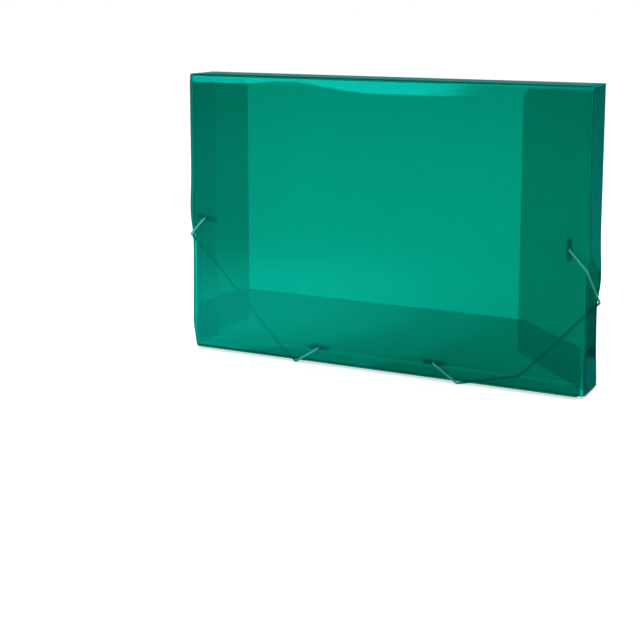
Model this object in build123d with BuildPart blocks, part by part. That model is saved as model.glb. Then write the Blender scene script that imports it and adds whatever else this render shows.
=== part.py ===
from build123d import *
import math
import os

# Plastic box file for A4 papers, closed and standing on its fore edge wall.
# Millimetres. Z is up, the cover faces -Y, and the origin is at the bottom centre.
# The two elastics run under the fore edge wall, so the box stands on them.

# Sheet and box
sheet = 0.8
box_width = 330
box_height = 225
box_depth = 37

# Elastics
cord_diameter = 1.8
cord_clearance = 0.3
cord_bend_radius = 1.5
hole_diameter = 3.0
side_hole_inset = 13.5
side_hole_height = 108
bottom_hole_inset = 116
bottom_hole_height = 11.6
cord_front_edge_height = 94.2
cord_back_edge_height = 62.5
cord_back_bottom_inset = 61
cord_front_bottom_inset = 96.4

# Toggles
toggle_length = 17.5
toggle_width = 3.3
toggle_thickness = 1.6
toggle_corner_radius = 0.4
toggle_end_radius = 1.2
left_toggle_tilt = -10
right_toggle_tilt = 90
bottom_toggle_tilt = 0

# Room in front of the flaps for the toggles, and between the flaps
toggle_room = 1.9
flap_clearance = 0.3

# Living hinges
crease_radius = sheet / 2
crease_seat = 0.2
crease_gap = 0.05
crease_end_margin = 2.5

# Walls
fold_radius = 0.6
wall_top_clearance = 0.3
tab_height = 32
tab_chamfer = 6
tab_end_clearance = 0.5

# Side flaps
side_flap_width = 51
side_flap_top_below_box = 3.4
side_flap_foot_slope = 0.47
side_flap_foot_height = 1.5
side_flap_top_chamfer_x = 3.5
side_flap_top_chamfer_z = 5

# Fore edge flap
fore_edge_flap_height = 52.5
fore_edge_flap_taper_inset = 48
fore_edge_flap_end_inset = 3
fore_edge_flap_end_height = 36

# Cover
cover_trim_x = 3.5
cover_trim_z = 20
cover_corner_radius = 3

# Planes that follow from these
base_z = cord_diameter + cord_clearance
top_z = base_z + box_height
half_width = box_width / 2
cover_front_y = -box_depth / 2
cover_inner_y = cover_front_y + sheet
fore_edge_flap_front_y = cover_inner_y + toggle_room
side_flap_front_y = fore_edge_flap_front_y + sheet + flap_clearance
back_y = box_depth / 2
back_inner_y = back_y - sheet
wall_inner_x = half_width - sheet

back_crease_y = back_y - crease_radius
cover_crease_y = cover_front_y + crease_radius
spine_crease_z = top_z - crease_radius
fore_edge_crease_y = fore_edge_flap_front_y + crease_radius
fore_edge_crease_z = base_z + crease_radius
side_crease_x = half_width - crease_radius
side_crease_y = side_flap_front_y + crease_radius
moving_edge = crease_radius + crease_gap

wall_top_z = top_z - sheet - wall_top_clearance
side_flap_top_z = top_z - side_flap_top_below_box
side_flap_free_edge_x = half_width - side_flap_width
fore_edge_flap_taper_x = half_width - fore_edge_flap_taper_inset
fore_edge_flap_end_x = half_width - fore_edge_flap_end_inset

side_hole_x = half_width - side_hole_inset
bottom_hole_x = half_width - bottom_hole_inset
cord_back_bottom_x = half_width - cord_back_bottom_inset
cord_front_bottom_x = half_width - cord_front_bottom_inset
cord_offset = cord_clearance + cord_diameter / 2
cord_front_y = cover_front_y - cord_offset
cord_back_y = back_y + cord_offset
cord_side_x = half_width + cord_offset
cord_bottom_z = base_z - cord_offset
along_x = (0, 90, 0)

side_crease_low_z = base_z + crease_end_margin
side_crease_length = side_flap_top_z - side_crease_low_z
side_crease_middle_z = (side_crease_low_z + side_flap_top_z) / 2


def flat_panel(x_low, x_high, y_low, y_high, z_low, z_high):
    """Place one box of sheet between its six faces."""
    centre = ((x_low + x_high) / 2, (y_low + y_high) / 2, (z_low + z_high) / 2)
    with Locations(centre):
        Box(x_high - x_low, y_high - y_low, z_high - z_low)


def cord_points(side):
    """Corners of one elastic's route, from the side hole round the back to the bottom hole."""
    side_hole_z = base_z + side_hole_height
    bottom_hole_z = base_z + bottom_hole_height
    return [
        (side * side_hole_x, cover_inner_y, side_hole_z),
        (side * side_hole_x, cord_front_y, side_hole_z),
        (side * cord_side_x, cord_front_y, base_z + cord_front_edge_height),
        (side * cord_side_x, cord_back_y, base_z + cord_back_edge_height),
        (side * cord_back_bottom_x, cord_back_y, cord_bottom_z),
        (side * cord_front_bottom_x, cord_front_y, cord_bottom_z),
        (side * bottom_hole_x, cord_front_y, bottom_hole_z),
        (side * bottom_hole_x, cover_inner_y, bottom_hole_z),
    ]


# Tray: back panel between the two side walls, standing on the fore edge wall
with BuildPart() as back_panel:
    flat_panel(-wall_inner_x, wall_inner_x, back_inner_y, back_y, base_z + sheet, spine_crease_z - crease_seat)
    with Locations((0, back_crease_y, spine_crease_z)):
        Cylinder(crease_radius, box_width, rotation=along_x, mode=Mode.SUBTRACT)

with BuildPart() as fore_edge_wall:
    flat_panel(-wall_inner_x, wall_inner_x, fore_edge_crease_y + crease_seat, back_y, base_z, base_z + sheet)
    with Locations((0, fore_edge_crease_y, fore_edge_crease_z)):
        Cylinder(crease_radius, 2 * fore_edge_flap_end_x, rotation=along_x, mode=Mode.SUBTRACT)
    back_bottom_edges = fore_edge_wall.edges().filter_by(Axis.X).group_by(Axis.Y)[-1].sort_by(Axis.Z)
    fillet(back_bottom_edges[0], fold_radius)

with BuildPart() as right_wall:
    flat_panel(wall_inner_x, half_width, side_crease_y + crease_seat, back_y, base_z, wall_top_z)
    with Locations((side_crease_x, side_crease_y, side_crease_middle_z)):
        Cylinder(crease_radius, side_crease_length, mode=Mode.SUBTRACT)
    back_corner_edges = right_wall.edges().filter_by(Axis.Z).group_by(Axis.Y)[-1].sort_by(Axis.X)
    fillet(back_corner_edges[-1], fold_radius)

with BuildPart() as left_wall:
    mirror(right_wall.part, about=Plane.YZ)

# Glued tabs: the ends of the fore edge wall, folded up inside the side walls
with BuildPart() as right_corner_tab:
    flat_panel(
        wall_inner_x - sheet,
        wall_inner_x,
        side_flap_front_y + sheet + tab_end_clearance,
        back_inner_y - tab_end_clearance,
        base_z + sheet,
        base_z + tab_height,
    )
    tab_top_corners = right_corner_tab.edges().filter_by(Axis.X).group_by(Axis.Z)[-1]
    chamfer(tab_top_corners, tab_chamfer)

with BuildPart() as left_corner_tab:
    mirror(right_corner_tab.part, about=Plane.YZ)

# Spine: the top wall, seated on its own crease in front and free of the back crease
with BuildPart() as spine_panel:
    flat_panel(
        -half_width,
        half_width,
        cover_crease_y + crease_seat,
        back_crease_y - moving_edge,
        top_z - sheet,
        top_z,
    )
    with Locations((0, cover_crease_y, spine_crease_z)):
        Cylinder(crease_radius, box_width, rotation=along_x, mode=Mode.SUBTRACT)

with BuildPart() as back_spine_crease:
    with Locations((0, back_crease_y, spine_crease_z)):
        Cylinder(crease_radius, box_width, rotation=along_x)

with BuildPart() as cover_spine_crease:
    with Locations((0, cover_crease_y, spine_crease_z)):
        Cylinder(crease_radius, box_width, rotation=along_x)

# Cover with its four holes and trimmed lower corners
with BuildPart() as cover_panel:
    with BuildSketch(Plane.XZ.offset(-cover_inner_y)) as cover_outline:
        with BuildLine():
            Polyline(
                (-half_width, spine_crease_z - moving_edge),
                (-half_width, base_z + cover_trim_z),
                (-half_width + cover_trim_x, base_z),
                (half_width - cover_trim_x, base_z),
                (half_width, base_z + cover_trim_z),
                (half_width, spine_crease_z - moving_edge),
                close=True,
            )
        make_face()
        fillet(cover_outline.vertices().group_by(Axis.Y)[0], cover_corner_radius)
        with Locations(
            (-side_hole_x, base_z + side_hole_height),
            (side_hole_x, base_z + side_hole_height),
            (-bottom_hole_x, base_z + bottom_hole_height),
            (bottom_hole_x, base_z + bottom_hole_height),
        ):
            Circle(hole_diameter / 2, mode=Mode.SUBTRACT)
    extrude(amount=sheet)

# Side flaps, creased to the side walls
with BuildPart() as right_flap:
    flap_root_x = side_crease_x - moving_edge
    foot_root_z = base_z + side_flap_foot_height + crease_end_margin
    foot_tip_z = foot_root_z + side_flap_foot_slope * side_flap_width
    with BuildSketch(Plane.XZ.offset(-side_flap_front_y - sheet)):
        with BuildLine():
            Polyline(
                (flap_root_x, foot_root_z),
                (flap_root_x, side_flap_top_z),
                (side_flap_free_edge_x + side_flap_top_chamfer_x, side_flap_top_z),
                (side_flap_free_edge_x, side_flap_top_z - side_flap_top_chamfer_z),
                (side_flap_free_edge_x, foot_tip_z),
                close=True,
            )
        make_face()
    extrude(amount=sheet)

with BuildPart() as left_flap:
    mirror(right_flap.part, about=Plane.YZ)

with BuildPart() as right_flap_crease:
    with Locations((side_crease_x, side_crease_y, side_crease_middle_z)):
        Cylinder(crease_radius, side_crease_length)

with BuildPart() as left_flap_crease:
    mirror(right_flap_crease.part, about=Plane.YZ)

# Fore edge flap, over the lower ends of the side flaps
with BuildPart() as fore_edge_flap:
    with BuildSketch(Plane.XZ.offset(-fore_edge_flap_front_y - sheet)):
        with BuildLine():
            Polyline(
                (-fore_edge_flap_end_x, fore_edge_crease_z + moving_edge),
                (-fore_edge_flap_end_x, base_z + fore_edge_flap_end_height),
                (-fore_edge_flap_taper_x, base_z + fore_edge_flap_height),
                (fore_edge_flap_taper_x, base_z + fore_edge_flap_height),
                (fore_edge_flap_end_x, base_z + fore_edge_flap_end_height),
                (fore_edge_flap_end_x, fore_edge_crease_z + moving_edge),
                close=True,
            )
        make_face()
    extrude(amount=sheet)

with BuildPart() as fore_edge_flap_crease:
    with Locations((0, fore_edge_crease_y, fore_edge_crease_z)):
        Cylinder(crease_radius, 2 * fore_edge_flap_end_x, rotation=along_x)

# Elastics: from a side hole over the side edge, across the back and under the box to a bottom hole
with BuildPart() as right_elastic:
    with BuildLine() as right_route:
        FilletPolyline(*cord_points(1), radius=cord_bend_radius)
    with BuildSketch(Plane(right_route.line @ 0, z_dir=right_route.line % 0)):
        Circle(cord_diameter / 2)
    sweep()

with BuildPart() as left_elastic:
    mirror(right_elastic.part, about=Plane.YZ)

cord_length = right_route.wire().length
cord_section = math.pi * (cord_diameter / 2) ** 2
print("elastic length", round(cord_length, 1), "mm, bends of radius", cord_bend_radius)
print("elastic volume over section times length", round(right_elastic.part.volume / cord_section / cord_length, 4))


def toggle(hole_x, hole_height, tilt):
    """One T-shaped cord end's bar, flat against the inside of the cover and turned about its hole."""
    direction = (math.cos(math.radians(tilt)), 0, math.sin(math.radians(tilt)))
    seat = Plane(origin=(hole_x, cover_inner_y, base_z + hole_height), x_dir=direction, z_dir=(0, 1, 0))
    with BuildPart() as bar:
        with BuildSketch(seat):
            RectangleRounded(toggle_length, toggle_width, toggle_end_radius)
        extrude(amount=toggle_thickness)
        fillet(bar.faces().sort_by(Axis.Y)[-1].edges(), toggle_corner_radius)
    return bar


left_side_toggle = toggle(-side_hole_x, side_hole_height, left_toggle_tilt)
right_side_toggle = toggle(side_hole_x, side_hole_height, right_toggle_tilt)
left_bottom_toggle = toggle(-bottom_hole_x, bottom_hole_height, bottom_toggle_tilt)
right_bottom_toggle = toggle(bottom_hole_x, bottom_hole_height, bottom_toggle_tilt)

# One named file for each piece
pieces = {
    "back_panel": back_panel,
    "fore_edge_wall": fore_edge_wall,
    "left_wall": left_wall,
    "right_wall": right_wall,
    "left_corner_tab": left_corner_tab,
    "right_corner_tab": right_corner_tab,
    "spine_panel": spine_panel,
    "cover_panel": cover_panel,
    "left_flap": left_flap,
    "right_flap": right_flap,
    "fore_edge_flap": fore_edge_flap,
    "back_spine_crease": back_spine_crease,
    "cover_spine_crease": cover_spine_crease,
    "left_flap_crease": left_flap_crease,
    "right_flap_crease": right_flap_crease,
    "fore_edge_flap_crease": fore_edge_flap_crease,
    "left_elastic": left_elastic,
    "right_elastic": right_elastic,
    "left_side_toggle": left_side_toggle,
    "left_bottom_toggle": left_bottom_toggle,
    "right_side_toggle": right_side_toggle,
    "right_bottom_toggle": right_bottom_toggle,
}
os.makedirs("parts", exist_ok=True)
for name, piece in pieces.items():
    piece.part.label = name
    export_step(piece.part, f"parts/{name}.step")
    box = piece.part.bounding_box()
    print(name, len(piece.part.solids()), "solid", [round(v, 2) for v in (*box.min, *box.max)])
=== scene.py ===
# %% [markdown]
# # A plastic box file, closed and standing
#
# The real thing is one die-cut sheet of translucent teal polypropylene, 0.8 mm thick, folded along pressed
# creases into a tray, a spine and a cover. Two round elastics with moulded bars on their ends hold it shut.
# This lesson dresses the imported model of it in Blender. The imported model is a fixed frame: its nodes say
# where every panel, crease and elastic is, and each piece made here stands exactly where its node does.

import math

import bmesh
import bpy
import numpy as np
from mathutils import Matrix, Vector


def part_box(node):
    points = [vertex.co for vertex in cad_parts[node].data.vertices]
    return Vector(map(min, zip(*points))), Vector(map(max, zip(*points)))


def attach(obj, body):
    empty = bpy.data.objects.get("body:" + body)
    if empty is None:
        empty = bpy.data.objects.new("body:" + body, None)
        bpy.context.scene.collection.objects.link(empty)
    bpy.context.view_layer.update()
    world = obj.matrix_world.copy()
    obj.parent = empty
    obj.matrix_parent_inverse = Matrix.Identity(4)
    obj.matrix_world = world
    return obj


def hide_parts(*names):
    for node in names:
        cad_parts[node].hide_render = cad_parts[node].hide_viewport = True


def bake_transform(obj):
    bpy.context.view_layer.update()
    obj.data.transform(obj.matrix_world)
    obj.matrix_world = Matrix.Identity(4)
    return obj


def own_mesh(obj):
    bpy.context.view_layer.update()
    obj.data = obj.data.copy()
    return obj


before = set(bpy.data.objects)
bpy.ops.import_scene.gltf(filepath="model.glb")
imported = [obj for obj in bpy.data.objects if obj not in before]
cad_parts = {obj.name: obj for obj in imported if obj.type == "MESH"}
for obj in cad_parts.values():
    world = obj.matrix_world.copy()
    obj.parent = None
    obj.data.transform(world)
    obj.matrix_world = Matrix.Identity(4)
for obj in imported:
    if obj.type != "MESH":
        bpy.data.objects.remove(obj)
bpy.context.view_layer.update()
MM = 0.001
bpy.context.scene.view_settings.view_transform = "Standard"

# %% [markdown]
# ## Sizes that the frame gives
#
# The sheet's thickness, the box's faces and the creases are read off the nodes, so a change in the model
# moves everything here with it. Only the soft things that the model leaves out, such as how round a fold is
# and how far an elastic pinches the edge, are sizes of this script's own.

# %% Read the sizes
cover_low, cover_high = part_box("cover_panel")
spine_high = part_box("spine_panel")[1]
back_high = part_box("back_panel")[1]
wall_low, wall_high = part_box("right_wall")
floor_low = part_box("fore_edge_wall")[0]
tab_low, tab_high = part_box("right_corner_tab")
flap_low, flap_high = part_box("right_flap")
front_flap_low, front_flap_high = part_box("fore_edge_flap")

sheet = cover_high.y - cover_low.y
half_width = cover_high.x
base_z = floor_low.z
top_z = spine_high.z
front_y = cover_low.y
back_y = back_high.y
fold_radius = 1.2 * MM
print("sheet", round(sheet / MM, 2), "mm thick, box", round(2 * half_width / MM), "mm wide")

# %% [markdown]
# ## The camera
#
# The photograph's camera was worked out from the standing box's corners and edges: how far away it stood,
# how it was turned, and where its axis met the picture. That point lies above the middle, so the lens is
# shifted. A look through the box crosses many faces of clear sheet, and Cycles has to be told to follow
# that many.

# %% Camera
PICTURE_SIDE = 640
PHOTO_FOCAL = 1344.1
PHOTO_CENTRE_Y = 200
PHOTO_AZIMUTH = 26.75
PHOTO_ELEVATION = 8.74
CAMERA_PLACE = (0.4173, -0.9405, 0.2889 + base_z)
SENSOR = 36
SHEETS_SEEN_THROUGH = 48

camera_data = bpy.data.cameras.new("photo_camera")
camera = bpy.data.objects.new("photo_camera", camera_data)
bpy.context.scene.collection.objects.link(camera)
camera_data.sensor_width = SENSOR
camera_data.lens = SENSOR * PHOTO_FOCAL / PICTURE_SIDE
camera_data.shift_y = (PHOTO_CENTRE_Y - PICTURE_SIDE / 2) / PICTURE_SIDE
azimuth = math.radians(PHOTO_AZIMUTH)
elevation = math.radians(PHOTO_ELEVATION)
towards_camera = Vector(
    (math.sin(azimuth) * math.cos(elevation), -math.cos(azimuth) * math.cos(elevation), math.sin(elevation))
)
camera.location = CAMERA_PLACE
camera.rotation_mode = "QUATERNION"
camera.rotation_quaternion = (-towards_camera).to_track_quat("-Z", "Y")
camera_data.clip_start = 0.01
camera_data.clip_end = 50
bpy.context.scene.camera = camera
bpy.context.scene.cycles.transparent_max_bounces = SHEETS_SEEN_THROUGH
print("lens", round(camera_data.lens, 1), "mm, distance", round(camera.location.length, 2), "m")

# %% [markdown]
# ## Floor, backdrop and light
#
# The photograph is cut out on pure white, and the sheet's colour comes mostly from white light passing
# through it. So the world is white to the camera, and the floor has a little light of its own in the
# camera's eye that takes it to white without lighting the box. The floor's own colour stays plain, so it
# keeps the box's shadow.

# %% Helpers for the stage
def shader(material, kind, **inputs):
    """Add one node and set its sockets by name."""
    node = material.node_tree.nodes.new(kind)
    for name, value in inputs.items():
        node.inputs[name.replace("_", " ")].default_value = value
    return node


def new_material(name):
    """An empty node material with its output."""
    material = bpy.data.materials.new(name)
    material.use_nodes = True
    material.node_tree.nodes.clear()
    output = material.node_tree.nodes.new("ShaderNodeOutputMaterial")
    return material, output


def stage_sheet(name, low, high, height, material):
    """A level rectangle from one corner to the other."""
    mesh = bpy.data.meshes.new(name)
    corners = [(low[0], low[1]), (high[0], low[1]), (high[0], high[1]), (low[0], high[1])]
    mesh.from_pydata([(x, y, height) for x, y in corners], [], [(0, 1, 2, 3)])
    mesh.materials.append(material)
    piece = bpy.data.objects.new(name, mesh)
    bpy.context.scene.collection.objects.link(piece)
    return piece


# %% Floor
FLOOR_CORNER = 6
FLOOR_COLOUR = (0.86, 0.86, 0.86, 1)
FLOOR_LIFT = 0.55

floor_material, output = new_material("pale_floor")
links = floor_material.node_tree.links
diffuse = shader(floor_material, "ShaderNodeBsdfDiffuse", Color=FLOOR_COLOUR)
lift = shader(floor_material, "ShaderNodeEmission", Color=(1, 1, 1, 1))
path = floor_material.node_tree.nodes.new("ShaderNodeLightPath")
strength = floor_material.node_tree.nodes.new("ShaderNodeMath")
strength.operation = "MULTIPLY"
strength.inputs[1].default_value = FLOOR_LIFT
links.new(path.outputs["Is Camera Ray"], strength.inputs[0])
links.new(strength.outputs[0], lift.inputs["Strength"])
both = floor_material.node_tree.nodes.new("ShaderNodeAddShader")
links.new(diffuse.outputs[0], both.inputs[0])
links.new(lift.outputs[0], both.inputs[1])
links.new(both.outputs[0], output.inputs["Surface"])

floor = stage_sheet("floor", (-FLOOR_CORNER, -FLOOR_CORNER), (FLOOR_CORNER, FLOOR_CORNER), 0, floor_material)
print("floor", 2 * FLOOR_CORNER, "m square")

# %% World
WORLD_LIGHT = 0.55
WORLD_GLOSS = 0.36

world = bpy.data.worlds.new("white_studio")
world.use_nodes = True
bpy.context.scene.world = world
nodes = world.node_tree.nodes
nodes.clear()
world_output = nodes.new("ShaderNodeOutputWorld")
background = nodes.new("ShaderNodeBackground")
background.inputs["Color"].default_value = (1, 1, 1, 1)
world_path = nodes.new("ShaderNodeLightPath")
seen = nodes.new("ShaderNodeMapRange")
seen.inputs["To Min"].default_value = WORLD_LIGHT
seen.inputs["To Max"].default_value = 1.0
gloss = nodes.new("ShaderNodeMapRange")
gloss.inputs["To Max"].default_value = WORLD_GLOSS
world.node_tree.links.new(world_path.outputs["Is Camera Ray"], seen.inputs["Value"])
world.node_tree.links.new(seen.outputs["Result"], gloss.inputs["To Min"])
world.node_tree.links.new(world_path.outputs["Is Glossy Ray"], gloss.inputs["Value"])
world.node_tree.links.new(gloss.outputs["Result"], background.inputs["Strength"])
world.node_tree.links.new(background.outputs[0], world_output.inputs["Surface"])
print("world", WORLD_LIGHT, "to the box,", WORLD_GLOSS, "in its gloss and 1.0 to the camera")

# %% [markdown]
# ## Lamps, a low card and a painted shadow
#
# Three broad lamps light the box from above, left and right. Smooth plastic also shows what it mirrors, and
# a photographer sets that with cards. The low part of the cover mirrors the floor in front of it, so a soft
# card lies there, made of three lamps in one place that fade outwards. The right wall mirrors the floor
# behind it, where a dark sheet that only reflections see is a painted shadow of the box.

# %% Lamps
def soft_lamp(name, place, aim, width, height, power):
    """One rectangular area lamp that looks at a point."""
    data = bpy.data.lights.new(name, "AREA")
    data.shape = "RECTANGLE"
    data.size = width
    data.size_y = height
    data.energy = power
    lamp = bpy.data.objects.new(name, data)
    lamp.location = place
    lamp.rotation_mode = "QUATERNION"
    lamp.rotation_quaternion = (Vector(aim) - Vector(place)).to_track_quat("-Z", "Y")
    bpy.context.scene.collection.objects.link(lamp)
    return lamp


# Each lamp's name, place, width, height and watts.
LAMPS = [
    ("overhead_softbox", (0.2, 0.3, 1.6), 1.6, 1.2, 12),
    ("left_strip_box", (-0.95, -1.55, 0.52), 1.1, 0.28, 7),
    ("right_softbox", (1.8, -0.8, 0.9), 0.8, 0.8, 4),
]
BOX_MIDDLE = (0, 0, (base_z + top_z) / 2)
for name, place, width, height, power in LAMPS:
    soft_lamp(name, place, BOX_MIDDLE, width, height, power)

# %% Low card
# Each ring's width, length and watts.
CARD_RINGS = [(0.18, 0.22, 0.2), (0.30, 0.34, 0.4), (0.44, 0.56, 0.36)]
CARD_PLACE = (-0.19, -0.17, 0.004)
STRAIGHT_UP = (CARD_PLACE[0], CARD_PLACE[1], 1)
for width, length, power in CARD_RINGS:
    card = soft_lamp("low_front_card", CARD_PLACE, STRAIGHT_UP, width, length, power)
    card.data.shape = "ELLIPSE"
    card.visible_camera = False

# %% Painted shadow
FLAG_LOW = (0.18, 0.10)
FLAG_HIGH = (0.40, 0.42)
FLAG_HEIGHT = 2 * MM
# A dark sheet that only reflections see: the box's shadow on the floor behind it, painted in.
PAINTED_SHADOW_COLOUR = (0.02, 0.02, 0.02, 1)

painted_shadow_material, output = new_material("painted_shadow_flag")
dull = shader(painted_shadow_material, "ShaderNodeBsdfDiffuse", Color=PAINTED_SHADOW_COLOUR)
painted_shadow_material.node_tree.links.new(dull.outputs[0], output.inputs["Surface"])
painted_shadow_sheet = stage_sheet("painted_shadow_flag", FLAG_LOW, FLAG_HIGH, FLAG_HEIGHT, painted_shadow_material)
painted_shadow_sheet.visible_camera = False
painted_shadow_sheet.visible_diffuse = False
painted_shadow_sheet.visible_shadow = False
print("painted_shadow_sheet", round(FLAG_HIGH[0] - FLAG_LOW[0], 2), "by", round(FLAG_HIGH[1] - FLAG_LOW[1], 2), "m")

# %% [markdown]
# ## The sheet's finish
#
# Three things happen to light at a sheet of tinted polypropylene. Most of it goes straight through and
# comes out teal. A little is scattered by the milky plastic, to both sides. And the smooth surface mirrors
# some. So the shader is a Transparent one with the tint, mixed with a Translucent and a Diffuse one for the
# milk, and with a Glossy one over them. The more edge-on a sheet is seen, the longer the way through it and
# the more it mirrors, and Layer Weight's Facing says how edge-on that is. A sheet has two faces, and light
# crosses both. All of this is put on its outer face, and the inner one is left nearly clear, because each
# shader that light may take at random costs samples.

# %% Helpers for the finishes
WAVE_SCALE = 30
WAVE_HEIGHT = 0.07 * MM


def wire(material, pairs):
    """Link output sockets to input sockets."""
    for source, target in pairs:
        material.node_tree.links.new(source, target)


def facing_range(material, face_on, edge_on, power=1.0):
    """A number that goes from face_on to edge_on as the surface turns away."""
    turned = shader(material, "ShaderNodeLayerWeight", Blend=0.5)
    curve = material.node_tree.nodes.new("ShaderNodeMath")
    curve.operation = "POWER"
    curve.inputs[1].default_value = power
    spread = shader(material, "ShaderNodeMapRange", To_Min=face_on, To_Max=edge_on)
    wire(material, [(turned.outputs["Facing"], curve.inputs[0]), (curve.outputs[0], spread.inputs["Value"])])
    return spread.outputs["Result"]


def cloudy_range(material, scale, detail, low, high):
    """A number that drifts between low and high over the piece."""
    place = material.node_tree.nodes.new("ShaderNodeTexCoord")
    noise = shader(material, "ShaderNodeTexNoise", Scale=scale, Detail=detail)
    spread = shader(material, "ShaderNodeMapRange", From_Min=0.3, From_Max=0.7, To_Min=low, To_Max=high)
    wire(
        material,
        [(place.outputs["Object"], noise.inputs["Vector"]), (noise.outputs["Fac"], spread.inputs["Value"])],
    )
    return spread.outputs["Result"]


def product(material, first, second):
    """Two numbers multiplied."""
    times = material.node_tree.nodes.new("ShaderNodeMath")
    times.operation = "MULTIPLY"
    wire(material, [(first, times.inputs[0]), (second, times.inputs[1])])
    return times.outputs[0]


def soft_bump(material):
    """A surface normal that waves very slightly, as pressed sheet does."""
    place = material.node_tree.nodes.new("ShaderNodeTexCoord")
    noise = shader(material, "ShaderNodeTexNoise", Scale=WAVE_SCALE, Detail=1)
    bump = shader(material, "ShaderNodeBump", Strength=1.0, Distance=WAVE_HEIGHT)
    wire(
        material,
        [(place.outputs["Object"], noise.inputs["Vector"]), (noise.outputs["Fac"], bump.inputs["Height"])],
    )
    return bump.outputs["Normal"]


print("the surface waves by", WAVE_HEIGHT / MM, "mm")

# %% [markdown]
# Light that leaves a clear sheet near its cut edge has passed less plastic on its way, and without help the
# last millimetres of the cover look too bright. The next helper paints shade there, as a deeper tint.

# %% Painted shade near a cut
# Painted shade: a deeper tint over the last millimetres of a cut side or foot.
PAINTED_CUT_SHADE = 0.8
SIDE_SHADE_FROM = 4.0 * MM
SIDE_SHADE_FULL = 2.6 * MM
FOOT_SHADE_FROM = 2.0 * MM
FOOT_SHADE_FULL = 0.5 * MM
SLANT_FROM = 0.06
SLANT_FULL = 0.14


def painted_cut_shade(material, side_x, low_z):
    """A number for painted shade that grows over the last few millimetres before a panel's cut foot and
    sides. At the sides it does so only at a slant, where the light leaves through the cut."""
    place = material.node_tree.nodes.new("ShaderNodeTexCoord")
    split = material.node_tree.nodes.new("ShaderNodeSeparateXYZ")
    across = material.node_tree.nodes.new("ShaderNodeMath")
    across.operation = "ABSOLUTE"
    to_side = shader(
        material, "ShaderNodeMapRange", From_Min=side_x - SIDE_SHADE_FROM, From_Max=side_x - SIDE_SHADE_FULL
    )
    slant = shader(
        material, "ShaderNodeMapRange", From_Min=SLANT_FROM, From_Max=SLANT_FULL, To_Max=PAINTED_CUT_SHADE
    )
    foot = shader(
        material,
        "ShaderNodeMapRange",
        From_Min=low_z + FOOT_SHADE_FROM,
        From_Max=low_z + FOOT_SHADE_FULL,
        To_Max=PAINTED_CUT_SHADE,
    )
    most = material.node_tree.nodes.new("ShaderNodeMath")
    most.operation = "MAXIMUM"
    wire(
        material,
        [
            (place.outputs["Object"], split.inputs["Vector"]),
            (split.outputs["X"], across.inputs[0]),
            (across.outputs[0], to_side.inputs["Value"]),
            (facing_range(material, 0.0, 1.0), slant.inputs["Value"]),
            (split.outputs["Z"], foot.inputs["Value"]),
            (product(material, to_side.outputs["Result"], slant.outputs["Result"]), most.inputs[0]),
            (foot.outputs["Result"], most.inputs[1]),
        ],
    )
    return most.outputs[0]


print("a cut's shade reaches", SIDE_SHADE_FROM / MM, "mm in from the sides")

# %% The clear sheet
GLOSS_TINT = (0.01, 0.95, 0.86, 1)
GRAZING_TINT = (0.45, 0.95, 0.93, 1)
GLOSS_FACE_ON = 0.05
GLOSS_POWER = 10
GRAZING_POWER = 12
DEPTH_POWER = 2
EDGE_ON_DEPTH = 1.5
SHEET_ROUGHNESS = 0.18


def clear_plastic(name, tint, edge_tint, milk_colour, milk, cut=None):
    """Tinted see-through plastic. tint and edge_tint are what the whole sheet lets through, face on and edge
    on, and milk holds the shares that it scatters then. cut gives the half width and the foot height of a
    panel that gets painted shade near its rim."""
    material, output = new_material(name)
    window = shader(material, "ShaderNodeBsdfTransparent")
    tints = shader(material, "ShaderNodeMixRGB", Color1=tint, Color2=edge_tint)
    onward = shader(material, "ShaderNodeBsdfTranslucent", Color=milk_colour)
    back = shader(material, "ShaderNodeBsdfDiffuse", Color=milk_colour)
    mirror = shader(material, "ShaderNodeBsdfGlossy", Roughness=SHEET_ROUGHNESS)
    mirror_tints = shader(material, "ShaderNodeMixRGB", Color1=GLOSS_TINT, Color2=GRAZING_TINT)
    both_ways = shader(material, "ShaderNodeMixShader", Fac=0.5)
    inside = material.node_tree.nodes.new("ShaderNodeMixShader")
    surface = material.node_tree.nodes.new("ShaderNodeMixShader")
    drift = cloudy_range(material, scale=25, detail=2, low=0.92, high=1.08)
    share = product(material, drift, facing_range(material, *milk))
    depth = facing_range(material, 0.0, EDGE_ON_DEPTH, DEPTH_POWER)
    if cut is not None:
        deepest = material.node_tree.nodes.new("ShaderNodeMath")
        deepest.operation = "MAXIMUM"
        wire(material, [(depth, deepest.inputs[0]), (painted_cut_shade(material, *cut), deepest.inputs[1])])
        depth = deepest.outputs[0]
    wire(
        material,
        [
            (depth, tints.inputs["Fac"]),
            (tints.outputs[0], window.inputs["Color"]),
            (onward.outputs[0], both_ways.inputs[1]),
            (back.outputs[0], both_ways.inputs[2]),
            (share, inside.inputs["Fac"]),
            (window.outputs[0], inside.inputs[1]),
            (both_ways.outputs[0], inside.inputs[2]),
            (facing_range(material, GLOSS_FACE_ON, 1.0, GLOSS_POWER), surface.inputs["Fac"]),
            (inside.outputs[0], surface.inputs[1]),
            (mirror.outputs[0], surface.inputs[2]),
            (facing_range(material, 0.0, 1.0, GRAZING_POWER), mirror_tints.inputs["Fac"]),
            (mirror_tints.outputs[0], mirror.inputs["Color"]),
            (soft_bump(material), mirror.inputs["Normal"]),
            (surface.outputs[0], output.inputs["Surface"]),
        ],
    )
    return material


# %% The inner face and the cut rim
INNER_GLOSS = 0.01
INNER_ROUGHNESS = 0.3


def clear_skin(name):
    """The inner face of a sheet: clear, with a trace of gloss."""
    material, output = new_material(name)
    window = shader(material, "ShaderNodeBsdfTransparent", Color=(1, 1, 1, 1))
    mirror = shader(material, "ShaderNodeBsdfGlossy", Color=GLOSS_TINT, Roughness=INNER_ROUGHNESS)
    surface = shader(material, "ShaderNodeMixShader", Fac=INNER_GLOSS)
    wire(
        material,
        [
            (window.outputs[0], surface.inputs[1]),
            (mirror.outputs[0], surface.inputs[2]),
            (soft_bump(material), mirror.inputs["Normal"]),
            (surface.outputs[0], output.inputs["Surface"]),
        ],
    )
    return material


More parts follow.
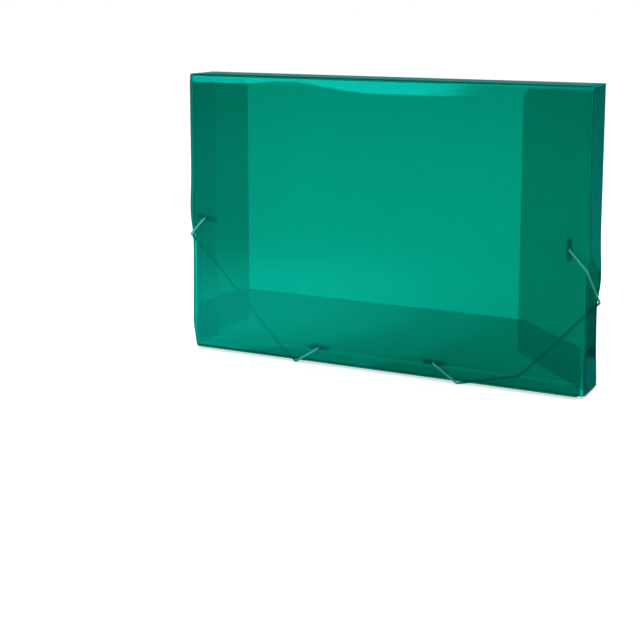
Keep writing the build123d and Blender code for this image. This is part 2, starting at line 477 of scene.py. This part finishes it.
def cut_rim(name, colour):
    """The cut edge of a sheet: light that ran inside the plastic comes out here, so it looks solid."""
    material, output = new_material(name)
    onward = shader(material, "ShaderNodeBsdfTranslucent", Color=colour)
    back = shader(material, "ShaderNodeBsdfDiffuse", Color=colour)
    surface = material.node_tree.nodes.new("ShaderNodeMixShader")
    wire(
        material,
        [
            (cloudy_range(material, scale=400, detail=2, low=0.21, high=0.39), surface.inputs["Fac"]),
            (back.outputs[0], surface.inputs[1]),
            (onward.outputs[0], surface.inputs[2]),
            (surface.outputs[0], output.inputs["Surface"]),
        ],
    )
    return material


# %% [markdown]
# Each part of the sheet gets its own mixture. The cover's cut sides and foot are seen, so it gets painted
# shade near a cut. The wall that the box stands on is seen almost edge-on through the cover, against the
# shadowed floor under the box, where a deep tint would draw a dark band, so its tint is kept light: painted
# light. Creases are pressed thinner, and the plastic whitens a little there.

# %% Sheet, crease and rim finishes
SHEET_TINT = (0.0, 0.50, 0.39, 1)
EDGE_ON_TINT = (0.0, 0.04, 0.025, 1)
# Painted light: the wall the box stands on stays lightly tinted edge-on, against the shadowed floor seen
# through it.
FOOT_PAINTED_LIGHT_TINT = (0.0, 0.86, 0.78, 1)
MILK_COLOUR = (0.001, 0.42, 0.33, 1)
MILK = (0.16, 0.16)
CREASE_MILK_COLOUR = (0.001, 0.46, 0.37, 1)
CREASE_MILK = (0.12, 0.2)
RIM_COLOUR = (0.004, 0.27, 0.21, 1)

# The cover gets painted shade near its cut sides and foot.
cover_painted_shade_edges = (half_width, cover_low.z)
sheet_finish = clear_plastic("teal_sheet", SHEET_TINT, EDGE_ON_TINT, MILK_COLOUR, MILK)
cover_painted_shade_finish = clear_plastic("teal_cover_painted_shade", SHEET_TINT, EDGE_ON_TINT, MILK_COLOUR, MILK, cover_painted_shade_edges)
foot_painted_light_finish = clear_plastic("teal_foot_painted_light", SHEET_TINT, FOOT_PAINTED_LIGHT_TINT, MILK_COLOUR, MILK)
crease_finish = clear_plastic("pressed_crease", SHEET_TINT, EDGE_ON_TINT, CREASE_MILK_COLOUR, CREASE_MILK)
skin_finish = clear_skin("inner_skin")
rim_finish = cut_rim("cut_rim", RIM_COLOUR)
print("sheet finishes made")

# %% [markdown]
# The elastic is a rubber core wound with thread, which shows as fine rings round it. They are counted along
# the cord's own length, an attribute that the cord's tree writes further on, so they follow every bend.
# Their grooves get painted shade.

# %% Elastic and bar finishes
LENGTH_ATTRIBUTE = "cord_length"
RING_PITCH = 0.9 * MM
RING_HEIGHT = 0.06 * MM
RING_PAINTED_SHADE = 0.75
ELASTIC_COLOUR = (0.02, 0.56, 0.48, 1)
BAR_TINT = (0.001, 0.28, 0.22, 1)
BAR_EDGE_ON_TINT = (0.0, 0.04, 0.03, 1)
BAR_MILK_COLOUR = (0.001, 0.06, 0.045, 1)
BAR_MILK = (0.25, 0.6)


def woven_rubber(name, colour):
    """A covered elastic: fine rings round the cord, counted by its own length, with painted shade in their
    grooves, and softly uneven colour.
    """
    material, output = new_material(name)
    body = shader(material, "ShaderNodeBsdfPrincipled", Roughness=0.42, Specular_IOR_Level=0.6)
    length = material.node_tree.nodes.new("ShaderNodeAttribute")
    length.attribute_name = LENGTH_ATTRIBUTE
    rings = material.node_tree.nodes.new("ShaderNodeMath")
    rings.operation = "SINE"
    turns = material.node_tree.nodes.new("ShaderNodeMath")
    turns.operation = "MULTIPLY"
    turns.inputs[1].default_value = 2 * math.pi / RING_PITCH
    raised = shader(material, "ShaderNodeBump", Strength=0.6, Distance=RING_HEIGHT)
    shade = shader(material, "ShaderNodeMapRange", From_Min=-1.0, From_Max=1.0, To_Min=0.0, To_Max=1.0)
    # Painted shade: the colour darkens in the grooves between the rings.
    darker = (*(RING_PAINTED_SHADE * c for c in colour[:3]), 1)
    tones = shader(material, "ShaderNodeMixRGB", Color1=darker, Color2=colour)
    drift = cloudy_range(material, scale=60, detail=3, low=0.6, high=1.0)
    onward = shader(material, "ShaderNodeBsdfTranslucent", Color=colour)
    surface = shader(material, "ShaderNodeMixShader", Fac=0.4)
    wire(
        material,
        [
            (length.outputs["Fac"], turns.inputs[0]),
            (turns.outputs[0], rings.inputs[0]),
            (rings.outputs[0], raised.inputs["Height"]),
            (rings.outputs[0], shade.inputs["Value"]),
            (product(material, drift, shade.outputs["Result"]), tones.inputs["Fac"]),
            (tones.outputs[0], body.inputs["Base Color"]),
            (raised.outputs["Normal"], body.inputs["Normal"]),
            (body.outputs[0], surface.inputs[1]),
            (onward.outputs[0], surface.inputs[2]),
            (surface.outputs[0], output.inputs["Surface"]),
        ],
    )
    return material


elastic_finish = woven_rubber("teal_elastic", ELASTIC_COLOUR)
bar_finish = clear_plastic("dark_green_bar", BAR_TINT, BAR_EDGE_ON_TINT, BAR_MILK_COLOUR, BAR_MILK)
print("finishes", [m.name for m in bpy.data.materials])

# %% [markdown]
# ## How the elastics pinch the box
#
# A stretched elastic draws the edge of the sheet in where it goes round, and the sheet swells a little
# beyond it. Just below its upper crease the cover also leans back by up to seven degrees, unevenly, and
# catches the light there. One small warp of space, used on every piece, does both: panels, creases, flaps
# and elastics move together, so nothing that touches comes apart.

# %% Warp
PINCH_DEPTH = 1.4 * MM
PINCH_BELOW = 60 * MM
PINCH_ABOVE = 8 * MM
SWELL_HEIGHT = 1.1 * MM
SWELL_CENTRE = 22 * MM
SWELL_SPREAD = 18 * MM
PINCH_REACH = 45 * MM
PINCH_FREE_FOOT = 30 * MM
CORD_FRONT_HEIGHT = base_z + 94.2 * MM
CORD_BACK_HEIGHT = base_z + 62.5 * MM
LEAN_REACH = 14 * MM
LEAN_START = 1.5 * MM
# Places across the box, how far down the lean reaches there, and how steep it is.
LEAN_PLACES = np.array([-165, -110, -92, -68, -40, -10, 22, 60, 90, 165]) * MM
LEAN_HEIGHTS = np.array([7.5, 7.5, 5.5, 5, 9, 12, 12, 12, 9, 6]) * MM
LEAN_SLOPES = np.array([0.13, 0.13, 0.12, 0.11, 0.13, 0.13, 0.12, 0.09, 0.03, 0.0])


def smooth(value, low, high):
    """0 below low, 1 above high, and an even S between."""
    t = np.clip((value - low) / (high - low), 0, 1)
    return t * t * (3 - 2 * t)


def lean(x, y, z):
    """How far the top of the cover leans back towards its crease."""
    height = np.interp(x, LEAN_PLACES, LEAN_HEIGHTS)
    slope = np.interp(x, LEAN_PLACES, LEAN_SLOPES)
    above = np.clip(z - (top_z - height), 0, None)
    ramp = np.where(above < LEAN_START, above * above / (2 * LEAN_START), above - LEAN_START / 2)
    return slope * ramp * (1 - smooth(y, front_y, front_y + LEAN_REACH))


def warp(points):
    """Where the elastics' pull and the crease's spring move points of the box."""
    points = np.array(points, float)
    x, y, z = points[:, 0], points[:, 1], points[:, 2]
    back_share = np.clip((y - front_y) / (back_y - front_y), 0, 1)
    above = z - (CORD_FRONT_HEIGHT + (CORD_BACK_HEIGHT - CORD_FRONT_HEIGHT) * back_share)
    fall = np.where(above < 0, np.exp(-((above / PINCH_BELOW) ** 2)), np.exp(-((above / PINCH_ABOVE) ** 2)))
    swell = np.exp(-(((above - SWELL_CENTRE) / SWELL_SPREAD) ** 2))
    off_foot = smooth(z, base_z, base_z + PINCH_FREE_FOOT)
    outward = (SWELL_HEIGHT * swell - PINCH_DEPTH * fall) * off_foot
    side = smooth(np.abs(x), half_width - PINCH_REACH, half_width)
    moved = points.copy()
    moved[:, 0] = x + np.sign(x) * outward * side
    moved[:, 1] = y + lean(x, y, z)
    return moved


def warp_mesh(mesh):
    """Warp a finished mesh in place."""
    points = np.zeros(len(mesh.vertices) * 3)
    mesh.vertices.foreach_get("co", points)
    mesh.vertices.foreach_set("co", warp(points.reshape(-1, 3)).ravel())
    mesh.update()


side_middle = warp([(half_width, front_y, CORD_FRONT_HEIGHT)])[0]
print("the edge is drawn in by", round((half_width - side_middle[0]) / MM, 2), "mm at the elastic")

# %% [markdown]
# ## Folding sheet
#
# Every panel and fold is the same thing: a sheet of one thickness that follows a line in one plane and runs
# between two ends in the third direction. A panel's line is straight, a fold's is an arc, and a wall's is
# both. A small function makes any of them as a closed slab on a regular grid, fine enough to be bent
# afterwards.

# %% Lines and arcs
GRID_STEP = 5 * MM
ARC_STEPS = 8
SAME_POINT = 1e-7


def line_points(start, end, step=GRID_STEP):
    """Evenly spaced points of a straight stretch, both ends included."""
    start, end = np.array(start, float), np.array(end, float)
    count = max(1, math.ceil(np.linalg.norm(end - start) / step))
    return [start + (end - start) * i / count for i in range(count + 1)]


def arc_points(centre, radius, from_degrees, to_degrees):
    """Points of an arc, both ends included."""
    turns = np.radians(np.linspace(from_degrees, to_degrees, ARC_STEPS + 1))
    return [np.array(centre) + radius * np.array((math.cos(t), math.sin(t))) for t in turns]


def join_points(*stretches):
    """One line from several that follow on, with shared ends written once."""
    route = []
    for stretch in stretches:
        for point in stretch:
            if not route or np.linalg.norm(point - route[-1]) > SAME_POINT:
                route.append(point)
    return np.array(route)


print("a panel's grid is", GRID_STEP / MM, "mm wide")

# %% [markdown]
# The slab has three kinds of face, and each has a material slot of its own: the outer face, the inner face
# and the cut rim. The slots are filled as soon as the mesh is made, because a Boolean or a bevel drops the
# numbers of slots that aren't there.

# %% Sheet maker
# The two axes of a route's plane, and the one that the slab runs along.
AXES = {"x": ((0, 1, 0), (0, 0, 1), (1, 0, 0)), "z": ((1, 0, 0), (0, 1, 0), (0, 0, 1))}
OUTER, INNER, RIM = 0, 1, 2


def folded_sheet(name, route, along, ends, outer):
    """A closed slab of sheet: route is its middle line in the plane square to along ('x' or 'z'), and
    ends(point) gives where the slab starts and stops along that axis at each point of the route. outer is -1
    or 1, the side of the route's normal that faces out of the box."""
    first, second, third = (np.array(v, float) for v in AXES[along])
    tangents = np.gradient(route, axis=0)
    tangents /= np.linalg.norm(tangents, axis=1)[:, None]
    normals = np.stack([-tangents[:, 1], tangents[:, 0]], axis=1)
    limits = [ends(point) for point in route]
    columns = max(1, math.ceil(max(high - low for low, high in limits) / GRID_STEP))
    mesh = bmesh.new()
    layers = []
    for side in (-0.5, 0.5):
        layer = []
        for point, normal, (low, high) in zip(route, normals, limits):
            place = point + normal * side * sheet
            row = []
            for j in range(columns + 1):
                t = low + (high - low) * j / columns
                row.append(mesh.verts.new(place[0] * first + place[1] * second + t * third))
            layer.append(row)
        layers.append(layer)
    rows = len(route) - 1
    for layer, side in zip(layers, (-1, 1)):
        for i in range(rows):
            for j in range(columns):
                face = mesh.faces.new((layer[i][j], layer[i + 1][j], layer[i + 1][j + 1], layer[i][j + 1]))
                face.material_index = OUTER if side == outer else INNER
    below, above = layers
    for i in range(rows):
        for j in (0, columns):
            face = mesh.faces.new((below[i][j], below[i + 1][j], above[i + 1][j], above[i][j]))
            face.material_index = RIM
    for i in (0, rows):
        for j in range(columns):
            face = mesh.faces.new((below[i][j], below[i][j + 1], above[i][j + 1], above[i][j]))
            face.material_index = RIM
    bmesh.ops.recalc_face_normals(mesh, faces=mesh.faces)
    data = bpy.data.meshes.new(name)
    mesh.to_mesh(data)
    mesh.free()
    for finish in (sheet_finish, skin_finish, rim_finish):
        data.materials.append(finish)
    piece = bpy.data.objects.new(name, data)
    bpy.context.scene.collection.objects.link(piece)
    return piece


print("a sheet's faces are outer, inner and rim:", (OUTER, INNER, RIM))

# %% Bake and finish a sheet
EDGE_ROUND = 0.12 * MM
ROUNDED_FROM = math.radians(60)
SHARP_FROM = math.radians(35)


def baked(piece):
    """Turn what the modifiers make into the piece's own mesh."""
    depsgraph = bpy.context.evaluated_depsgraph_get()
    data = bpy.data.meshes.new_from_object(piece.evaluated_get(depsgraph))
    piece.modifiers.clear()
    piece.data = data
    return piece


def finish_sheet(piece, material, panel=True):
    """Give a piece its finish. A panel's cut edges are rounded and it is bent too: a fold has to wait."""
    if panel:
        bevel = piece.modifiers.new("cut_edge", "BEVEL")
        bevel.width = EDGE_ROUND
        bevel.segments = 2
        bevel.limit_method = "ANGLE"
        bevel.angle_limit = ROUNDED_FROM
        baked(piece)
        warp_mesh(piece.data)
    piece.data.materials[OUTER] = material
    piece.data.shade_smooth()
    piece.data.set_sharp_from_angle(angle=SHARP_FROM)


print("cut edges are rounded by", EDGE_ROUND / MM, "mm")

# %% [markdown]
# ## The tray
#
# The back, the two side walls and the fore edge wall are the panels that stay put. The walls turn round the
# back's corners with the soft radius of a pressed crease. The ends of the fore edge wall are folded up
# inside the side walls as glued tabs.

# %% Tray panels
back_middle_y = back_y - sheet / 2
wall_middle_x = half_width - sheet / 2
floor_middle_z = base_z + sheet / 2
bend_middle = fold_radius - sheet / 2
wall_end_y = back_y - fold_radius
panel_end_x = half_width - fold_radius
panel_end_z = base_z + fold_radius
spine_bend_z = top_z - fold_radius
FIT_GAP = 0.02 * MM

back_sheet = folded_sheet(
    "back_sheet",
    np.array(line_points((back_middle_y, panel_end_z), (back_middle_y, spine_bend_z))),
    "x",
    lambda point: (-panel_end_x, panel_end_x),
    -1,
)


def side_wall(name, side):
    """One side wall with its rounded back corner."""
    x = side * wall_middle_x
    straight = line_points((x, flap_low.y + fold_radius), (x, wall_end_y))
    centre = (side * panel_end_x, wall_end_y)
    turn = arc_points(centre, bend_middle, 90 - side * 90, 90)
    route = join_points(straight, turn)
    return folded_sheet(name, route, "z", lambda point: (wall_low.z, wall_high.z), -side)


left_wall_sheet = side_wall("left_wall_sheet", -1)
right_wall_sheet = side_wall("right_wall_sheet", 1)


def fore_edge_ends(point):
    """The fore edge wall fits between the side walls, and inside their rounded back corners."""
    half = (half_width - sheet if point[0] <= wall_end_y else panel_end_x) - FIT_GAP
    return -half, half


fore_edge_sheet = folded_sheet(
    "fore_edge_sheet",
    join_points(
        line_points((front_flap_low.y + fold_radius, floor_middle_z), (wall_end_y, floor_middle_z)),
        arc_points((wall_end_y, panel_end_z), bend_middle, -90, 0),
    ),
    "x",
    fore_edge_ends,
    -1,
)
print("back", round((spine_bend_z - panel_end_z) / MM, 1), "mm high, fold radius", fold_radius / MM, "mm")

# %% Corner tabs
TAB_GAP = 0.04 * MM
TAB_CORNER = 6 * MM
TAB_STEP = 1 * MM


def corner_tab(name, side):
    """A glued tab, just inside its wall."""
    x = side * (tab_high.x - sheet / 2 - TAB_GAP)

    def ends(point):
        near_end = min(point[1] - tab_low.y, tab_high.y - point[1])
        return tab_low.z + TAB_GAP, tab_high.z - max(0.0, TAB_CORNER - near_end)

    route = join_points(
        line_points((x, tab_low.y), (x, tab_low.y + TAB_CORNER), TAB_STEP),
        line_points((x, tab_low.y + TAB_CORNER), (x, tab_high.y - TAB_CORNER)),
        line_points((x, tab_high.y - TAB_CORNER), (x, tab_high.y), TAB_STEP),
    )
    return folded_sheet(name, route, "z", ends, -side)


left_tab_sheet = corner_tab("left_tab_sheet", -1)
right_tab_sheet = corner_tab("right_tab_sheet", 1)
print("tabs", round((tab_high.z - tab_low.z) / MM, 1), "mm high")

# %% [markdown]
# ## Spine and cover
#
# The spine is the narrow wall on top. The cover hangs from its front edge. Its lower corners are trimmed
# and slightly rounded, and four small holes take the elastics. Its rows are closer together where its
# outline or its lean changes fast.

# %% Spine
spine_middle_z = top_z - sheet / 2
spine_sheet = folded_sheet(
    "spine_sheet",
    np.array(line_points((front_y + fold_radius, spine_middle_z), (back_y - fold_radius, spine_middle_z))),
    "x",
    lambda point: (-half_width, half_width),
    1,
)
print("spine", round((back_y - front_y - 2 * fold_radius) / MM, 1), "mm between its folds")

# %% Cover
TRIM_WIDTH = 3.5 * MM
TRIM_HEIGHT = 20 * MM
CORNER_HEIGHT = 2.2 * MM
CORNER_STEP = 0.3 * MM
LEANING_HEIGHT = 16 * MM
LEANING_STEP = 0.75 * MM
cover_middle_y = front_y + sheet / 2
cover_corner_z = cover_low.z + CORNER_HEIGHT
leaning_z = top_z - LEANING_HEIGHT


def cover_ends(point):
    """Half the cover's width at a height: trimmed towards the foot, with a small round corner."""
    above = point[1] - cover_low.z
    trim = TRIM_WIDTH * max(0.0, 1 - above / TRIM_HEIGHT)
    low = max(0.0, 1 - above / CORNER_HEIGHT)
    trim += CORNER_HEIGHT * (1 - math.sqrt(max(0.0, 1 - low * low)))
    return -(half_width - trim), half_width - trim


cover_sheet = folded_sheet(
    "cover_sheet",
    join_points(
        line_points((cover_middle_y, cover_low.z), (cover_middle_y, cover_corner_z), CORNER_STEP),
        line_points((cover_middle_y, cover_corner_z), (cover_middle_y, leaning_z)),
        line_points((cover_middle_y, leaning_z), (cover_middle_y, spine_bend_z), LEANING_STEP),
    ),
    "x",
    cover_ends,
    1,
)
print("cover", round(2 * half_width / MM), "mm wide,", TRIM_WIDTH / MM, "mm trimmed off each lower corner")

# %% [markdown]
# Each hole sits at the middle of the bar that lies across it. Round cutters, joined into one mesh, punch
# all four with a single Boolean.

# %% Holes in the cover
HOLE_RADIUS = 1.5 * MM
HOLE_SIDES = 32


def hole_place(node):
    """The middle of a bar as seen from the front: across and up."""
    low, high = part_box(node)
    return (low.x + high.x) / 2, (low.z + high.z) / 2


side_hole_place = hole_place("right_side_toggle")
bottom_hole_place = hole_place("right_bottom_toggle")
cutters = bmesh.new()
for side in (-1, 1):
    for place_x, place_z in (side_hole_place, bottom_hole_place):
        made = bmesh.ops.create_cone(
            cutters,
            cap_ends=True,
            segments=HOLE_SIDES,
            radius1=HOLE_RADIUS,
            radius2=HOLE_RADIUS,
            depth=6 * sheet,
        )
        for vert in made["verts"]:
            x, y, z = vert.co
            vert.co = Vector((side * place_x + x, cover_middle_y + z, place_z + y))
bmesh.ops.recalc_face_normals(cutters, faces=cutters.faces)
cutter_mesh = bpy.data.meshes.new("hole_cutters")
cutters.to_mesh(cutter_mesh)
cutters.free()
cutter = bpy.data.objects.new("hole_cutters", cutter_mesh)
bpy.context.scene.collection.objects.link(cutter)
punch = cover_sheet.modifiers.new("punch", "BOOLEAN")
punch.operation = "DIFFERENCE"
punch.solver = "EXACT"
punch.object = cutter
baked(cover_sheet)
bpy.data.objects.remove(cutter)
print("side hole at", [round(v / MM, 1) for v in side_hole_place], "mm")

# %% [markdown]
# ## Inner flaps
#
# Two side flaps and one along the fore edge keep papers in. They lie behind the cover, where the plastic
# shows them as darker bands: the light passes one more layer there.

# %% Side flaps
TOP_CHAMFER_X = 3.5 * MM
TOP_CHAMFER_Z = 5 * MM
CHAMFER_STEP = 1 * MM
FLAP_FOOT_HEIGHT = 4 * MM
FLAP_FOOT_SLOPE = 0.47
flap_middle_y = flap_low.y + sheet / 2
chamfer_x = flap_low.x + TOP_CHAMFER_X


def side_flap(name, side):
    """A side flap, from its crease to its free edge."""

    def ends(point):
        from_edge = side * point[0] - flap_low.x
        from_crease = half_width - side * point[0]
        chamfer = TOP_CHAMFER_Z * max(0.0, 1 - from_edge / TOP_CHAMFER_X)
        return base_z + FLAP_FOOT_HEIGHT + FLAP_FOOT_SLOPE * from_crease, flap_high.z - chamfer

    route = join_points(
        line_points((side * panel_end_x, flap_middle_y), (side * chamfer_x, flap_middle_y)),
        line_points((side * chamfer_x, flap_middle_y), (side * flap_low.x, flap_middle_y), CHAMFER_STEP),
    )
    return folded_sheet(name, route, "z", ends, side)


left_flap_sheet = side_flap("left_flap_sheet", -1)
right_flap_sheet = side_flap("right_flap_sheet", 1)
print("side flaps", round((half_width - flap_low.x) / MM, 1), "mm wide")

# %% Fore edge flap
TOP_HALF_WIDTH = 117 * MM
TAPER_END_Z = base_z + 36 * MM
front_flap_middle_y = front_flap_low.y + sheet / 2


def front_flap_ends(point):
    """Half the fore edge flap's width at a height: full below, then tapered to its straight top."""
    x = front_flap_high.x
    if point[1] > TAPER_END_Z:
        share = (point[1] - TAPER_END_Z) / (front_flap_high.z - TAPER_END_Z)
        x += (TOP_HALF_WIDTH - front_flap_high.x) * share
    return -x, x


front_flap_sheet = folded_sheet(
    "front_flap_sheet",
    join_points(
        line_points((front_flap_middle_y, panel_end_z), (front_flap_middle_y, TAPER_END_Z)),
        line_points((front_flap_middle_y, TAPER_END_Z), (front_flap_middle_y, front_flap_high.z)),
    ),
    "x",
    front_flap_ends,
    1,
)
print("fore edge flap", round((front_flap_high.z - base_z) / MM, 1), "mm high")

# %% [markdown]
# ## Folds
#
# Each living hinge is a rounded strip of the same sheet.

# %% Folds
cover_fold_strip = folded_sheet(
    "cover_fold_strip",
    np.array(arc_points((front_y + fold_radius, spine_bend_z), bend_middle, 90, 180)),
    "x",
    lambda point: (-half_width, half_width),
    -1,
)
back_fold_strip = folded_sheet(
    "back_fold_strip",
    np.array(arc_points((back_y - fold_radius, spine_bend_z), bend_middle, 0, 90)),
    "x",
    lambda point: (-half_width, half_width),
    -1,
)
front_flap_fold_strip = folded_sheet(
    "front_flap_fold_strip",
    np.array(arc_points((front_flap_low.y + fold_radius, panel_end_z), bend_middle, 180, 270)),
    "x",
    lambda point: (front_flap_low.x, front_flap_high.x),
    -1,
)


def side_fold(name, side):
    """The rounded crease between a side wall and its flap."""
    centre = (side * panel_end_x, flap_low.y + fold_radius)
    from_degrees, to_degrees = (180, 270) if side < 0 else (0, -90)
    turn = arc_points(centre, bend_middle, from_degrees, to_degrees)
    return folded_sheet(name, np.array(turn), "z", lambda point: (flap_crease_low.z, flap_high.z), side)


flap_crease_low, flap_crease_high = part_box("right_flap_crease")
left_flap_fold_strip = side_fold("left_flap_fold_strip", -1)
right_flap_fold_strip = side_fold("right_flap_fold_strip", 1)
print("flap creases", round((flap_crease_high.z - flap_crease_low.z) / MM, 1), "mm long")

# %% Finish the sheets
tray_walls = [back_sheet, left_wall_sheet, right_wall_sheet, fore_edge_sheet]
tray_panels = tray_walls + [left_tab_sheet, right_tab_sheet]
lid_panels = [spine_sheet, cover_sheet]
flap_panels = [left_flap_sheet, right_flap_sheet, front_flap_sheet]
panels = tray_panels + lid_panels + flap_panels
lid_folds = [cover_fold_strip, back_fold_strip]
folds = lid_folds + [front_flap_fold_strip, left_flap_fold_strip, right_flap_fold_strip]
own_finishes = {cover_sheet: cover_painted_shade_finish, fore_edge_sheet: foot_painted_light_finish}
for piece in panels:
    finish_sheet(piece, own_finishes.get(piece, sheet_finish))
for piece in folds:
    finish_sheet(piece, crease_finish, panel=False)
print("panels", len(panels), "folds", len(folds))

# %% [markdown]
# ## Elastics
#
# Each elastic leaves its bar behind the cover, goes out through the side hole, over the edge, across the
# wall and the back, under the box and up to the other hole. It is stretched, so it runs straight between
# edges.

# %% Elastic route
CORD_RADIUS = 0.9 * MM
CORD_OFFSET = 1.2 * MM
CORD_BEND = 1.5 * MM
CORD_STEP = 2 * MM
BEND_STEPS = 6
CORD_BACK_X = half_width - 61 * MM
CORD_FRONT_X = half_width - 96.4 * MM


def elastic_corners(side):
    """The corners of the elastic's route at rest."""
    inner_y = cover_high.y
    out_y = front_y - CORD_OFFSET
    behind_y = back_y + CORD_OFFSET
    beside_x = half_width + CORD_OFFSET
    under_z = base_z - CORD_OFFSET
    side_x, side_z = side_hole_place
    bottom_x, bottom_z = bottom_hole_place
    corners = [
        (side_x, inner_y, side_z),
        (side_x, out_y, side_z),
        (beside_x, out_y, CORD_FRONT_HEIGHT),
        (beside_x, behind_y, CORD_BACK_HEIGHT),
        (CORD_BACK_X, behind_y, under_z),
        (CORD_FRONT_X, out_y, under_z),
        (bottom_x, out_y, bottom_z),
        (bottom_x, inner_y, bottom_z),
    ]
    return [Vector((side * x, y, z)) for x, y, z in corners]


def rounded_route(corners, radius):
    """Straight runs joined by tangent arcs, as points close enough to bend with the box."""
    route = [corners[0]]
    for before, corner, after in zip(corners, corners[1:], corners[2:]):
        arriving = (corner - before).normalized()
        leaving = (after - corner).normalized()
        turn = arriving.angle(leaving)
        reach = radius * math.tan(turn / 2)
        start = corner - arriving * reach
        end = corner + leaving * reach
        inward = (leaving - arriving).normalized()
        centre = corner + inward * (radius / math.cos(turn / 2))
        run = (start - route[-1]).length
        count = max(1, round(run / CORD_STEP))
        last = route[-1]
        route += [last + (start - last) * (k / count) for k in range(1, count + 1)]
        for k in range(1, BEND_STEPS):
            share = k / BEND_STEPS
            chord = start.lerp(end, share)
            route.append(centre + (chord - centre).normalized() * radius)
        route.append(end)
    last = route[-1]
    count = max(1, round((corners[-1] - last).length / CORD_STEP))
    route += [last + (corners[-1] - last) * (k / count) for k in range(1, count + 1)]
    return [Vector(p) for p in warp(route)]


points = rounded_route(elastic_corners(1), CORD_BEND)
cord_length = sum((b - a).length for a, b in zip(points, points[1:]))
print("elastic", round(cord_length / MM, 1), "mm long on", len(points), "points")

# %% [markdown]
# A Geometry Nodes tree turns a route into the elastic: the route is a chain of edges, a circle is swept
# along it, and its ends are filled. The same tree makes both elastics.

# %% Elastic tree
def cord_tree(material):
    """Sweep a round section along a chain of edges."""
    tree = bpy.data.node_groups.new("elastic_along_route", "GeometryNodeTree")
    tree.interface.new_socket("Geometry", in_out="INPUT", socket_type="NodeSocketGeometry")
    radius = tree.interface.new_socket("Radius", in_out="INPUT", socket_type="NodeSocketFloat")
    sides = tree.interface.new_socket("Sides", in_out="INPUT", socket_type="NodeSocketInt")
    tree.interface.new_socket("Geometry", in_out="OUTPUT", socket_type="NodeSocketGeometry")
    add = tree.nodes.new
    source = add("NodeGroupInput")
    chain = add("GeometryNodeMeshToCurve")
    circle = add("GeometryNodeCurvePrimitiveCircle")
    sweep = add("GeometryNodeCurveToMesh")
    sweep.inputs["Fill Caps"].default_value = True
    realize = add("GeometryNodeRealizeInstances")
    paint = add("GeometryNodeSetMaterial")
    paint.inputs["Material"].default_value = material
    result = add("NodeGroupOutput")
    link = tree.links.new
    measure = add("GeometryNodeSplineParameter")
    store = add("GeometryNodeStoreNamedAttribute")
    store.inputs["Name"].default_value = LENGTH_ATTRIBUTE
    link(source.outputs["Geometry"], chain.inputs["Mesh"])
    link(source.outputs["Radius"], circle.inputs["Radius"])
    link(source.outputs["Sides"], circle.inputs["Resolution"])
    link(chain.outputs["Curve"], store.inputs["Geometry"])
    link(measure.outputs["Length"], store.inputs["Value"])
    link(store.outputs["Geometry"], sweep.inputs["Curve"])
    link(circle.outputs["Curve"], sweep.inputs["Profile Curve"])
    link(sweep.outputs["Mesh"], realize.inputs["Geometry"])
    link(realize.outputs["Geometry"], paint.inputs["Geometry"])
    link(paint.outputs["Geometry"], result.inputs["Geometry"])
    return tree, {"radius": radius.identifier, "sides": sides.identifier}


elastic_tree, elastic_inputs = cord_tree(elastic_finish)
print("tree with", len(elastic_tree.nodes), "nodes")

# %% Both elastics
CORD_SIDES = 16
CORD_SHARP_FROM = math.radians(50)


def elastic(name, side):
    """One elastic as a swept tube."""
    route = rounded_route(elastic_corners(side), CORD_BEND)
    chain = bpy.data.meshes.new(name)
    chain.from_pydata([tuple(p) for p in route], [(i, i + 1) for i in range(len(route) - 1)], [])
    piece = bpy.data.objects.new(name, chain)
    bpy.context.scene.collection.objects.link(piece)
    modifier = piece.modifiers.new("elastic", "NODES")
    modifier.node_group = elastic_tree
    modifier[elastic_inputs["radius"]] = CORD_RADIUS
    modifier[elastic_inputs["sides"]] = CORD_SIDES
    baked(piece)
    piece.data.shade_smooth()
    piece.data.set_sharp_from_angle(angle=CORD_SHARP_FROM)
    return piece


left_cord = elastic("left_cord", -1)
right_cord = elastic("right_cord", 1)
print("elastic faces", len(left_cord.data.polygons))

# %% [markdown]
# ## Bars
#
# A moulded bar on each end of the elastic lies across its hole behind the cover and can't pull through. The
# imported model's own bars have the right shape, so they stay and only get a finish.

# %% Bars
bar_nodes = ["left_side_toggle", "left_bottom_toggle", "right_side_toggle", "right_bottom_toggle"]
for name in bar_nodes:
    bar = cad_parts[name]
    bar.data.materials.clear()
    bar.data.materials.append(bar_finish)
print("bars", len(bar_nodes))

# %% [markdown]
# ## What moves with what
#
# The panels and the elastics ride on the body that their node belongs to. The folds stay where they are
# made, and the elastics' pinch is put on them afterwards, so that a fold's ends keep exactly to their
# panels.
#
# The elastics are slipped off before the box opens. They then spring back flat against the cover; here
# they simply ride with it.

# %% Ride and replace
rides = {
    "tray": tray_panels,
    "spine": [spine_sheet],
    "cover": [cover_sheet, left_cord, right_cord],
    "left_flap": [left_flap_sheet],
    "right_flap": [right_flap_sheet],
    "fore_edge_flap": [front_flap_sheet],
}
for body, pieces in rides.items():
    for piece in pieces:
        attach(piece, body)

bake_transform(cover_fold_strip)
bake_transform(back_fold_strip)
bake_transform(front_flap_fold_strip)
for side, strip, body in ((-1, left_flap_fold_strip, "left_flap"), (1, right_flap_fold_strip, "right_flap")):
    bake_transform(strip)
for piece in folds:
    warp_mesh(piece.data)

stands_for = {
    "back_panel": back_sheet,
    "left_wall": left_wall_sheet,
    "right_wall": right_wall_sheet,
    "fore_edge_wall": fore_edge_sheet,
    "left_corner_tab": left_tab_sheet,
    "right_corner_tab": right_tab_sheet,
    "spine_panel": spine_sheet,
    "cover_panel": cover_sheet,
    "left_flap": left_flap_sheet,
    "right_flap": right_flap_sheet,
    "fore_edge_flap": front_flap_sheet,
    "back_spine_crease": back_fold_strip,
    "cover_spine_crease": cover_fold_strip,
    "left_flap_crease": left_flap_fold_strip,
    "right_flap_crease": right_flap_fold_strip,
    "fore_edge_flap_crease": front_flap_fold_strip,
    "left_elastic": left_cord,
    "right_elastic": right_cord,
}
for node, piece in stands_for.items():
    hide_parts(node)
for piece in (left_cord, right_cord):
    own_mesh(piece)
